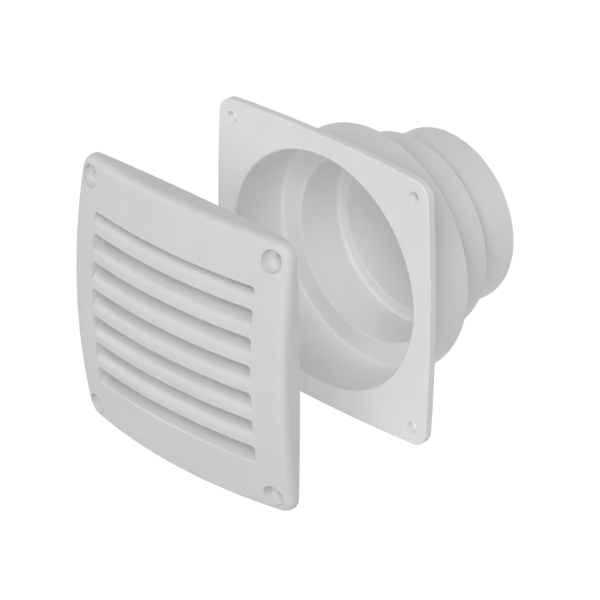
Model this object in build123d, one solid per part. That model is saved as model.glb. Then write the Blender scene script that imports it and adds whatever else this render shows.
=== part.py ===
from build123d import *
from math import asin, degrees, radians, sqrt, tan
import os

# Louvered wall vent, sizes in millimetres.
# The origin is the centre of the flange's rear face, on the duct's axis.
# +Y runs along the duct to the hose end, +Z is up, and the room side faces -Y.

# Duct spigot, three steps for three sizes of hose
large_diameter = 125.0
middle_diameter = 100.0
small_diameter = 88.0
large_length = 31.0
middle_length = 25.5
small_length = 25.0
duct_wall = 2.5
duct_edge_round = 0.9
duct_corner_round = 1.8

# Flange plate, a square whose sides bow outwards, wider than the spigot by a margin
flange_margin = 8.5
flange_bow = 2.6
flange_corner_radius = 9.0
flange_thickness = 4.0
flange_edge_round = 0.6

# Screws that go through the grille and the flange, set in from the flange's sides
screw_inset = 11.0
flange_hole_diameter = 6.0
grille_hole_diameter = 4.0
seat_diameter = 11.0
seat_floor = 3.0
seat_wall = 1.8

# Grille shell, a shallow dome over the same kind of square, set in from the flange's sides
grille_inset = 1.0
grille_bow = 1.2
grille_corner_radius = 9.0
grille_corner_height = 5.0
grille_edge_round = 5.0
dome_radius = 325.0
skin = 2.5

# Louvre window in the grille, with as many blades as fit between its end margins.
# The lips are strips of the skin, and they cover the blades' feet.
window_side_margin = 17.0
window_end_margin = 24.0
window_rise = 1.1
window_frame_wall = 2.0
top_slot = 4.8
bottom_slot = 8.8
slot_corner_radius = 2.0
louvre_pitch = 14.0
lip_height = 6.0
nose_round = 3.6
sill_round = 1.0
lip_cover = 0.05
blade_thickness = 2.2
blade_depth = 10.0
blade_slope = 12.0

# The grille is shown taken off, this far in front of the flange
grille_gap = 82.0

# Sizes and places that follow from those above
large_end = large_length
middle_end = large_end + middle_length
small_end = middle_end + small_length
flange_width = large_diameter + 2 * flange_margin
screw_spacing = flange_width - 2 * screw_inset
screw_places = GridLocations(screw_spacing, screw_spacing, 2, 2)
grille_width = flange_width - 2 * grille_inset
window_width = grille_width - 2 * window_side_margin
end_slots = top_slot + lip_height + bottom_slot
louvre_blades = 1 + int((grille_width - 2 * window_end_margin - end_slots) // louvre_pitch)
window_height = end_slots + (louvre_blades - 1) * louvre_pitch
window_top = window_rise + window_height / 2
lip_tops = [window_top - top_slot - row * louvre_pitch for row in range(louvre_blades)]
sill = window_top - window_height


def bowed_square(width, bow, corner_radius):
    """Square face with arc sides, as wide as given at mid side."""
    half = width / 2
    tip = half - bow
    side = ThreePointArc((tip, -tip), (half, 0), (tip, tip))
    face = make_face([side.rotate(Axis.Z, turn) for turn in (0, 90, 180, 270)])
    return fillet(face.vertices(), corner_radius)


def at_screws(diameter):
    """Discs at the four screw places."""
    return Sketch() + screw_places * Circle(diameter / 2)


def raised(face, height):
    """Prism on the plane y = 0 that stands out towards -Y."""
    return extrude(Plane.XZ * face, height)


def dome_drop(distance):
    """How far the dome has fallen back at a distance from the axis."""
    return dome_radius - sqrt(dome_radius**2 - distance**2)


def duct_profile():
    """Half section of the stepped spigot, radius along X and length along Y."""
    outer = [large_diameter / 2, middle_diameter / 2, small_diameter / 2]
    inner = [radius - duct_wall for radius in outer]
    ends = [large_end, middle_end, small_end]
    floors = [large_end - duct_wall, middle_end - duct_wall]
    outside = [(outer[0], 0), (outer[0], ends[0]), (outer[1], ends[0]),
               (outer[1], ends[1]), (outer[2], ends[1]), (outer[2], ends[2])]
    inside = [(inner[2], ends[2]), (inner[2], floors[1]), (inner[1], floors[1]),
              (inner[1], floors[0]), (inner[0], floors[0]), (inner[0], -flange_thickness)]
    foot = [(outer[0], -flange_thickness)]
    profile = make_face(Polyline(*outside, *inside, *foot, close=True))
    edges = [outside[1], outside[3], outside[5], inside[1], inside[3], inside[5]]
    corners = [inside[2], inside[4]]
    ledge = min(inner[0] - inner[1], inner[1] - inner[2])
    edge_round = min(duct_edge_round, 0.3 * ledge)
    corner_round = min(duct_corner_round, 0.6 * ledge)
    for points, radius in ((edges, edge_round), (corners, corner_round)):
        chosen = [v for v in profile.vertices() if near_any(v, points)]
        profile = fillet(chosen, radius)
    return profile


def near_any(vertex, points):
    """True where a vertex of a flat profile lies on one of the points."""
    return any((Vector(vertex) - Vector(*point)).length < 1e-6 for point in points)


def duct_flange():
    """Square plate with screw holes, and the stepped spigot behind it."""
    plate = raised(bowed_square(flange_width, flange_bow, flange_corner_radius), flange_thickness)
    front_edges = plate.faces().sort_by(Axis.Y)[0].edges()
    plate = fillet(front_edges, flange_edge_round)
    plate -= raised(Circle(large_diameter / 2 - duct_wall / 2), flange_thickness)
    spigot = revolve(duct_profile(), Axis.Y)
    holes = raised(at_screws(flange_hole_diameter), flange_thickness)
    return plate + spigot - holes


def grille_depth():
    """Depth of the grille on its axis, from the back plane to the top of the dome."""
    tip = grille_width / 2 - grille_bow
    corner = sqrt(2) * (tip - grille_corner_radius) + grille_corner_radius
    return grille_corner_height + dome_drop(corner)


def domed(face, inset):
    """Prism on the back plane, cut off by the dome or by a sphere inset from it."""
    ball = Pos(0, dome_radius - grille_depth(), 0) * Sphere(dome_radius - inset)
    return raised(face, grille_depth()) & ball


def with_rounded_front(solid, radius):
    """Rounds the edge where a domed solid's front meets its sides."""
    front = solid.faces().filter_by(GeomType.SPHERE)[0]
    return fillet(front.edges(), radius)


def window_face(margin):
    """Outline of the louvre window, grown by a margin."""
    outline = RectangleRounded(window_width + 2 * margin, window_height + 2 * margin,
                               slot_corner_radius + margin)
    return Pos(0, window_rise) * outline


def nose_drop(rounding):
    """How far below a blade's top its rounded nose runs out into the flat lip."""
    return rounding * tan(radians((90 - blade_slope) / 2))


def slot_face(top, bottom):
    """Outline of an opening in the grille's face between two lips."""
    outline = RectangleRounded(window_width, top - bottom, slot_corner_radius)
    return Pos(0, (top + bottom) / 2) * outline


def shell():
    """Domed cover, open at the back, with slots cut through its skin that leave the lips."""
    outer = bowed_square(grille_width, grille_bow, grille_corner_radius)
    inner = bowed_square(grille_width - 2 * skin, grille_bow, grille_corner_radius - skin)
    body = with_rounded_front(domed(outer, 0), grille_edge_round)
    cavity = with_rounded_front(domed(inner, skin), grille_edge_round - skin)
    body -= cavity
    tops = [window_top] + [lip_top - lip_height for lip_top in lip_tops]
    bottoms = [lip_top - nose_drop(nose_round) for lip_top in lip_tops] + [sill - nose_drop(sill_round)]
    for top, bottom in zip(tops, bottoms):
        body -= raised(slot_face(top, bottom), grille_depth())
    return body


def window_frame():
    """Walls round the window that carry the ends of the blades."""
    depth = lip_cover + blade_depth + blade_thickness / 2
    ring = window_face(window_frame_wall) - window_face(0)
    return domed(ring, skin / 2) - domed(window_face(window_frame_wall), depth)


def blade(top, rounding):
    """Curved blade: a foot inside the lip, a rounded nose, and a ledge that slopes up behind it."""
    centre = dome_radius - grille_depth()
    front = dome_radius - lip_cover
    bottom = top - nose_drop(rounding) - (lip_height - nose_drop(nose_round)) / 2
    foot = (centre - sqrt(front**2 - bottom**2), bottom)
    nose = (centre - sqrt(front**2 - top**2), top)
    back = (nose[0] + blade_depth, top + blade_depth * tan(radians(blade_slope)))
    path = FilletPolyline(foot, nose, back, radius=rounding)
    section = Plane.YZ * make_face(offset(path, blade_thickness, side=Side.RIGHT))
    axis = Axis((0, centre, 0), (0, 0, 1))
    half_turn = degrees(asin((window_width / 2 + 2 * window_frame_wall) / (front - 2 * blade_depth)))
    band = revolve(section.rotate(axis, -half_turn), axis, 2 * half_turn)
    return band & raised(Rectangle(window_width + window_frame_wall, grille_width), grille_depth())


def louvre_grille():
    """Domed cover with its framed window, blades, sill and screw seats."""
    body = shell() + window_frame()
    for lip_top in lip_tops:
        body += blade(lip_top, nose_round)
    body += blade(sill, sill_round)
    outline = bowed_square(grille_width - skin, grille_bow, grille_corner_radius - skin / 2)
    seats = raised(at_screws(seat_diameter + 2 * seat_wall), grille_depth())
    body += domed(outline, skin / 2) & seats
    recess = raised(at_screws(seat_diameter), grille_depth())
    body -= Pos(0, -seat_floor, 0) * recess
    body -= raised(at_screws(grille_hole_diameter), grille_depth())
    return body


os.makedirs("parts", exist_ok=True)
export_step(duct_flange(), "parts/duct_flange.step")
export_step(Pos(0, -flange_thickness - grille_gap, 0) * louvre_grille(), "parts/louvre_grille.step")
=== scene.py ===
from math import cos, radians, sin

import bpy
from mathutils import Matrix, Vector


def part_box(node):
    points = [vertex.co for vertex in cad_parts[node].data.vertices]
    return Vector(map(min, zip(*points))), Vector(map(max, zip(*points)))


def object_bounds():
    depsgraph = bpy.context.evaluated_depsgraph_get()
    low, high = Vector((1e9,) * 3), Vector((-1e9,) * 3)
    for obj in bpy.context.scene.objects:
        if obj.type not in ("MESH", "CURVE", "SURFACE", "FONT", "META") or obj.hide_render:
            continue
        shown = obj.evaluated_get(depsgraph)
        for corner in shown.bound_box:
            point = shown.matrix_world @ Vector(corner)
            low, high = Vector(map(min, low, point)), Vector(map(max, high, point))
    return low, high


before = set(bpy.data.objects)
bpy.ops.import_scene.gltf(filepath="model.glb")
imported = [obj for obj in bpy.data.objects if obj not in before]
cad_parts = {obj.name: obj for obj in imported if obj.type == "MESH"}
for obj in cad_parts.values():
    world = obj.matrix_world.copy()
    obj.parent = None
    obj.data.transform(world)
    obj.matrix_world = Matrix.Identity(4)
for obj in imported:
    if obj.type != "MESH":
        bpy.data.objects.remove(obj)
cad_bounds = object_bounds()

# Louvered wall vent in white satin plastic, shown with its grille taken off. Lengths are in metres.

# Camera, with angles in degrees and the photograph's frame in pixels
photo_width = 600
lens_pixels = 4000
sensor_width_mm = 36.0
view_azimuth = 45.96
view_elevation = 28.04
view_roll = -0.31
view_distance = 1.8794
flange_centre_pixel = (321.34, 271.18)
view_reach = 50

# Room
floor_drop = 0.45
floor_half_width = 2.4
floor_paint = 0.8
floor_glow = 0.67
world_light = 0.09
world_white = 1.0

# Softboxes, all alike, each with its azimuth and elevation in degrees and its power in watts
softbox_distance = 3.6
softbox_width = 2.4
lamp_colour = (0.975, 0.98, 1.0)
softboxes = {
    "key": (38, 29, 72),
    "high": (18, 50, 30),
    "left": (-66, 18, 24),
    "right": (140, 18, 9),
    "rear": (180, 8, 30),
}

# Plastic, with the sizes and strengths of its moulded texture
flange_colour = (0.88, 0.876, 0.857)
# The grille's colour is cooler and darker than the flange's. Part of that darkness is its own tone;
# the rest is painted shade that offsets the stronger lamp light the grille gets in front of the
# flange.
grille_colour_with_painted_shade = (0.73, 0.734, 0.737)
refractive_index = 1.5
roughness_range = (0.36, 0.48)
mottle_size = 0.035
mottle_detail = 3
mottle_change = 0.02
mottle_limits = (0.3, 0.7)
grain_size = 0.0009
grain_detail = 2
grain_height = 0.00004
grain_strength = 0.25


def direction(azimuth, elevation):
    """Unit vector from the part towards a place given by its angles, with azimuth 0 at -Y."""
    a = radians(azimuth)
    e = radians(elevation)
    return Vector((sin(a) * cos(e), -cos(a) * cos(e), sin(e)))


def axes_facing(back, roll):
    """Matrix whose columns are the right, up and back axes of something that looks along -back."""
    right = Vector((0, 0, 1)).cross(back).normalized()
    up = back.cross(right)
    turned_right = right * cos(roll) + up * sin(roll)
    turned_up = up * cos(roll) - right * sin(roll)
    return Matrix((turned_right, turned_up, back)).transposed()


def add_camera():
    """Camera that puts the centre of the flange's front face at its pixel in the photograph."""
    low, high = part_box("duct_flange")
    target = Vector((0, low.y, 0))
    axes = axes_facing(direction(view_azimuth, view_elevation), radians(view_roll))
    across = (flange_centre_pixel[0] - photo_width / 2) / lens_pixels
    down = (flange_centre_pixel[1] - photo_width / 2) / lens_pixels
    place = target + axes @ Vector((-across, down, 1)) * view_distance
    data = bpy.data.cameras.new("camera")
    data.sensor_width = sensor_width_mm
    data.lens = sensor_width_mm * lens_pixels / photo_width
    data.clip_end = view_reach
    camera = bpy.data.objects.new("camera", data)
    camera.matrix_world = Matrix.Translation(place) @ axes.to_4x4()
    bpy.context.scene.collection.objects.link(camera)
    bpy.context.scene.camera = camera


def add_softbox(name, azimuth, elevation, power):
    """Square area lamp that faces the middle of the part."""
    back = direction(azimuth, elevation)
    data = bpy.data.lights.new(name, "AREA")
    data.size = softbox_width
    data.energy = power
    data.color = lamp_colour
    lamp = bpy.data.objects.new(name, data)
    low, high = cad_bounds
    place = (low + high) / 2 + back * softbox_distance
    lamp.matrix_world = Matrix.Translation(place) @ axes_facing(back, 0).to_4x4()
    bpy.context.scene.collection.objects.link(lamp)


def seen_directly(nodes):
    """Socket that is 1 for rays that show the surface itself, straight, mirrored or through glass."""
    path = nodes.new("ShaderNodeLightPath")
    links = path.id_data.links
    total = path.outputs["Is Camera Ray"]
    for kind in ("Is Glossy Ray", "Is Transmission Ray"):
        add = nodes.new("ShaderNodeMath")
        add.operation = "ADD"
        add.use_clamp = True
        links.new(total, add.inputs[0])
        links.new(path.outputs[kind], add.inputs[1])
        total = add.outputs[0]
    return total


def add_world():
    """Even light from all round, with a white background where it is seen directly."""
    world = bpy.data.worlds.new("studio")
    world.use_nodes = True
    bpy.context.scene.world = world
    tree = world.node_tree
    tree.nodes.clear()
    light = tree.nodes.new("ShaderNodeBackground")
    light.inputs["Color"].default_value = (1, 1, 1, 1)
    light.inputs["Strength"].default_value = world_light
    white = tree.nodes.new("ShaderNodeBackground")
    white.inputs["Color"].default_value = (1, 1, 1, 1)
    white.inputs["Strength"].default_value = world_white
    mix = tree.nodes.new("ShaderNodeMixShader")
    out = tree.nodes.new("ShaderNodeOutputWorld")
    tree.links.new(seen_directly(tree.nodes), mix.inputs[0])
    tree.links.new(light.outputs[0], mix.inputs[1])
    tree.links.new(white.outputs[0], mix.inputs[2])
    tree.links.new(mix.outputs[0], out.inputs["Surface"])


def add_floor():
    """White floor well below the part, which takes its soft shadow."""
    low, high = cad_bounds
    w = floor_half_width
    z = low.z - floor_drop
    mesh = bpy.data.meshes.new("floor")
    mesh.from_pydata([(-w, -w, z), (w, -w, z), (w, w, z), (-w, w, z)], [], [(0, 1, 2, 3)])
    floor = bpy.data.objects.new("floor", mesh)
    bpy.context.scene.collection.objects.link(floor)
    material = bpy.data.materials.new("floor_white")
    material.use_nodes = True
    tree = material.node_tree
    tree.nodes.clear()
    paint = tree.nodes.new("ShaderNodeBsdfDiffuse")
    paint.inputs["Color"].default_value = (floor_paint, floor_paint, floor_paint, 1)
    glow = tree.nodes.new("ShaderNodeEmission")
    strength = tree.nodes.new("ShaderNodeMath")
    strength.operation = "MULTIPLY"
    strength.inputs[1].default_value = floor_glow
    tree.links.new(seen_directly(tree.nodes), strength.inputs[0])
    tree.links.new(strength.outputs[0], glow.inputs["Strength"])
    both = tree.nodes.new("ShaderNodeAddShader")
    out = tree.nodes.new("ShaderNodeOutputMaterial")
    tree.links.new(paint.outputs[0], both.inputs[0])
    tree.links.new(glow.outputs[0], both.inputs[1])
    tree.links.new(both.outputs[0], out.inputs["Surface"])
    mesh.materials.append(material)


def noise(tree, size, detail):
    """Noise over the part's own coordinates, with patches of about the given size."""
    place = tree.nodes.new("ShaderNodeTexCoord")
    texture = tree.nodes.new("ShaderNodeTexNoise")
    texture.inputs["Scale"].default_value = 1 / size
    texture.inputs["Detail"].default_value = detail
    tree.links.new(place.outputs["Object"], texture.inputs["Vector"])
    return texture.outputs["Fac"]


def satin_plastic(name, colour):
    """Moulded white plastic: faint mottling, a fine grain and a soft sheen that varies a little."""
    material = bpy.data.materials.new(name)
    material.use_nodes = True
    tree = material.node_tree
    shader = tree.nodes["Principled BSDF"]
    shader.inputs["IOR"].default_value = refractive_index
    mottle = noise(tree, mottle_size, mottle_detail)
    tint = tree.nodes.new("ShaderNodeValToRGB")
    changes = (1 - mottle_change, 1 + mottle_change)
    for stop, limit, change in zip(tint.color_ramp.elements, mottle_limits, changes):
        stop.position = limit
        stop.color = (*(change * c for c in colour), 1)
    tree.links.new(mottle, tint.inputs[0])
    tree.links.new(tint.outputs["Color"], shader.inputs["Base Color"])
    grain = noise(tree, grain_size, grain_detail)
    gloss = tree.nodes.new("ShaderNodeMapRange")
    gloss.inputs["To Min"].default_value = roughness_range[0]
    gloss.inputs["To Max"].default_value = roughness_range[1]
    tree.links.new(grain, gloss.inputs["Value"])
    tree.links.new(gloss.outputs["Result"], shader.inputs["Roughness"])
    bump = tree.nodes.new("ShaderNodeBump")
    bump.inputs["Strength"].default_value = grain_strength
    bump.inputs["Distance"].default_value = grain_height
    tree.links.new(grain, bump.inputs["Height"])
    tree.links.new(bump.outputs["Normal"], shader.inputs["Normal"])
    return material


def dress(node, material):
    """Gives a CAD node its material."""
    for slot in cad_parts[node].material_slots:
        slot.material = material


bpy.context.scene.view_settings.view_transform = "Standard"
add_camera()
add_world()
add_floor()
for name, (azimuth, elevation, power) in softboxes.items():
    add_softbox(name, azimuth, elevation, power)
dress("duct_flange", satin_plastic("flange_plastic_satin", flange_colour))
dress("louvre_grille", satin_plastic("grille_plastic_satin", grille_colour_with_painted_shade))
